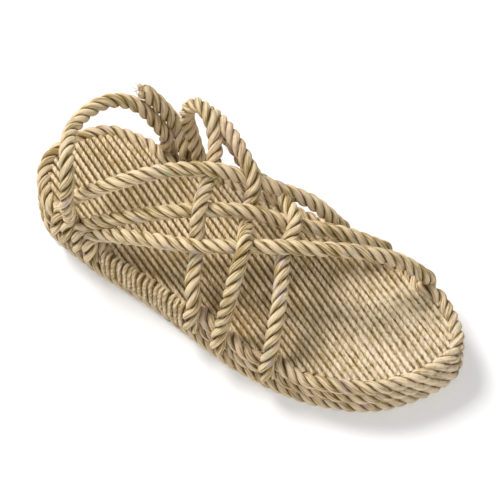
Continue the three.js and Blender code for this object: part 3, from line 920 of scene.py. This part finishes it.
settle(rim, "rim_rope")

# %% Footbed
FOOTBED_INSET = ROPE_DIAMETER * 0.82
FOOTBED_CORE_INSET = ROPE_DIAMETER * 0.8
REACH_OVER_WRAP = 2.6
footbed_middle = SOLE_HEIGHT - FIELD_DROP - CORD_RADIUS
footbed_lines = field_lines(FOOTBED_INSET, footbed_middle, over_wrap=REACH_OVER_WRAP)
beside_cord = (math.cos(RIDGE_TURN), -math.sin(RIDGE_TURN))
footbed_cords = cord_field("footbed_cords", footbed_lines, beside_cord, 2, FOOTBED_ROPE)
footbed_core = core("footbed_core", FOOTBED_CORE_INSET, RIM_BOTTOM, footbed_middle, FOOTBED_ROPE)
footbed_layer = join_pieces("footbed_layer", [footbed_cords, footbed_core])
settle(footbed_layer, "footbed")

# %% [markdown]
# ## Stray fibres
# Laid plant fibre is never clean: short ends stand off every rope, and a cut end frays into a tuft. A
# tree scatters bent hairs over the finished straps and rim, with their roots on the strands. The tuft is
# a bundle of thin lines that lean away from the cut, swept by the field tree.


# %% Loose fibre finish
def loose_fibre_material():
    material = bpy.data.materials.new("loose fibre")
    material.use_nodes = True
    tree = material.node_tree
    shader = tree.nodes["Principled BSDF"]
    place = tree.nodes.new("ShaderNodeTexCoord").outputs["Object"]
    shade = remap(tree, noise(tree, place, 400.0, 1.0), 0.35, 0.65)
    tree.links.new(blend_colours(tree, shade, (0.50, 0.36, 0.19, 1), (0.84, 0.70, 0.48, 1)),
                   shader.inputs["Base Color"])
    tree.links.new(remap(tree, shade, 0.0, 1.0, 0.9, 0.7), shader.inputs["Roughness"])
    shader.inputs["Specular IOR Level"].default_value = 0.14
    return material


LOOSE_FIBRE = loose_fibre_material()


# %% The stray fibre tree
def stray_fibre_tree():
    tree, given = geometry_tree("stray fibres", {
        "Density": 26000.0, "Thinness": 0.014, "Shortest": 0.0016, "Longest": 0.0056, "Seed": 1})
    spots = add_node(tree, "GeometryNodeDistributePointsOnFaces", {
        "Mesh": given["Geometry"], "Density": given["Density"], "Seed": given["Seed"]})
    bent = add_node(tree, "GeometryNodeCurveQuadraticBezier", {
        "Resolution": 4, "Start": (0, 0, 0), "Middle": (0.5, 0.15, 0.5), "End": (1.0, 0.0, 0.34)})
    profile = add_node(tree, "GeometryNodeCurvePrimitiveCircle", {
        "Resolution": 3, "Radius": given["Thinness"]})
    hair = add_node(tree, "GeometryNodeCurveToMesh", {
        "Curve": bent.outputs[0], "Profile Curve": profile.outputs[0], "Fill Caps": True}).outputs[0]
    spin = add_node(tree, "FunctionNodeRandomValue", {"Seed": given["Seed"]}, data_type="FLOAT").outputs[1]
    turned = add_node(tree, "FunctionNodeEulerToRotation", {0: add_node(tree, "ShaderNodeCombineXYZ", {
        2: maths(tree, "MULTIPLY", spin, math.tau)}).outputs[0]}).outputs[0]
    chance = add_node(tree, "FunctionNodeRandomValue", {"Seed": 2}, data_type="FLOAT").outputs[1]
    size = add_node(tree, "ShaderNodeMapRange", {
        "Value": chance, "To Min": given["Shortest"], "To Max": given["Longest"]}).outputs["Result"]
    rotation = add_node(tree, "FunctionNodeRotateRotation", {0: spots.outputs["Rotation"], 1: turned},
                        rotation_space="LOCAL").outputs[0]
    hairs = add_node(tree, "GeometryNodeInstanceOnPoints", {
        "Points": spots.outputs["Points"], "Instance": hair, "Rotation": rotation, "Scale": size})
    finish_tree(tree, hairs.outputs[0], given["Material"])
    return tree


STRAY_FIBRES = stray_fibre_tree()

# %% Hairs on straps and rim, and the tuft at the cut end
haired = [run_tree(f"hairs_{piece.name}", piece.data.copy(), STRAY_FIBRES, {
    "Seed": number, "Material": LOOSE_FIBRE})
    for number, piece in enumerate((woven_straps, heel_rope, short_rope, rim), start=1)]

TUFT_FIBRES = 60
TUFT_SPREAD = 0.30
TUFT_WIDTH = ROPE_RADIUS * 0.36
TUFT_ROOT = 2.0
TUFT_SHORTEST, TUFT_LONGEST = 1.8, 4.0
TUFT_DROOP = 0.5
draw = np.random.default_rng(5)
tip_line = strap_line(TIE_ROPE)
tip, outward = tip_line[0], tip_line[0] - tip_line[2]
outward = outward / np.linalg.norm(outward)
tuft_lines = []
for number in range(TUFT_FIBRES):
    root = tip + draw.normal(0, TUFT_WIDTH, 3) - outward * TUFT_ROOT
    lean = outward + draw.normal(0, TUFT_SPREAD, 3)
    reach = draw.uniform(TUFT_SHORTEST, TUFT_LONGEST)
    droop = np.array([0, 0, -TUFT_DROOP * draw.random()])
    tuft_lines.append(np.array([root + (lean + droop * t) * reach * t for t in np.linspace(0, 1, 5)]))
tuft = run_tree("tuft", line_mesh("tuft", tuft_lines), STRAND_FIELD, {
    "Strand Radius": 0.00022, "Step": 0.0012, "Sides": 4, "Sway": 0.0002, "Seed": 8,
    "Material": LOOSE_FIBRE})
stray_fibres = join_pieces("stray_fibres", [*haired, tuft])
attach(stray_fibres, "root")
print("stray_fibres", triangles(stray_fibres), "triangles")

# %% [markdown]
# ## Floor, light and camera
# The sandal stands on a pale seamless floor. One large soft light comes from above the heel, which
# throws the shade of the straps towards the toe, and a weaker one fills the near side. A long lens
# stands well back, so the picture has almost no perspective.

# %% Floor
FLOOR_REACH = 3.0
floor_mesh = bpy.data.meshes.new("floor")
floor_corners = [(-1, -1), (1, -1), (1, 1), (-1, 1)]
floor_mesh.from_pydata([(x * FLOOR_REACH, y * FLOOR_REACH, 0) for x, y in floor_corners], [],
                       [(0, 1, 2, 3)])
floor = bpy.data.objects.new("floor", floor_mesh)
bpy.context.scene.collection.objects.link(floor)

paper = bpy.data.materials.new("pale paper")
paper.use_nodes = True
paper_shader = paper.node_tree.nodes["Principled BSDF"]
paper_shader.inputs["Base Color"].default_value = (0.66, 0.66, 0.67, 1)
paper_shader.inputs["Roughness"].default_value = 0.9
paper_shader.inputs["Specular IOR Level"].default_value = 0.1
paper_shader.inputs["Emission Color"].default_value = (1, 1, 1, 1)
paper_shader.inputs["Emission Strength"].default_value = 0.28
floor_mesh.materials.append(paper)


# %% Lights
def soft_light(name, place, power, width, colour):
    lamp = bpy.data.lights.new(name, "AREA")
    lamp.energy = power
    lamp.size = width
    lamp.color = colour
    holder = bpy.data.objects.new(name, lamp)
    holder.location = place
    holder.rotation_euler = (-Vector(place)).to_track_quat("-Z", "Y").to_euler()
    bpy.context.scene.collection.objects.link(holder)


soft_light("key", (-0.4, -2.15, 2.65), 132, 1.4, (1.0, 0.985, 0.96))
soft_light("fill", (1.3, 1.1, 1.2), 14, 1.4, (0.97, 0.98, 1.0))
world = bpy.data.worlds.new("studio")
bpy.context.scene.world = world
world.use_nodes = True
world.node_tree.nodes["Background"].inputs["Color"].default_value = (1, 0.98, 0.94, 1)
world.node_tree.nodes["Background"].inputs["Strength"].default_value = 0.37
bpy.context.scene.view_settings.view_transform = "Standard"

# %% Camera
CAMERA_AZIMUTH = math.radians(122.1)
CAMERA_ELEVATION = math.radians(57)
CAMERA_DISTANCE = 2.2
CAMERA_LENS = 270
FRAME_CENTRE_RIGHT = 0.0027
FRAME_CENTRE_UP = 0.0174

back = Vector((math.sin(CAMERA_AZIMUTH) * math.cos(CAMERA_ELEVATION),
               -math.cos(CAMERA_AZIMUTH) * math.cos(CAMERA_ELEVATION), math.sin(CAMERA_ELEVATION)))
right = Vector((math.cos(CAMERA_AZIMUTH), math.sin(CAMERA_AZIMUTH), 0))
up = back.cross(right)
lens = bpy.data.cameras.new("camera")
lens.lens = CAMERA_LENS
camera = bpy.data.objects.new("camera", lens)
camera.location = back * CAMERA_DISTANCE + right * FRAME_CENTRE_RIGHT + up * FRAME_CENTRE_UP
camera.rotation_mode = "QUATERNION"
camera.rotation_quaternion = (-back).to_track_quat("-Z", "Y")
bpy.context.scene.collection.objects.link(camera)
bpy.context.scene.camera = camera
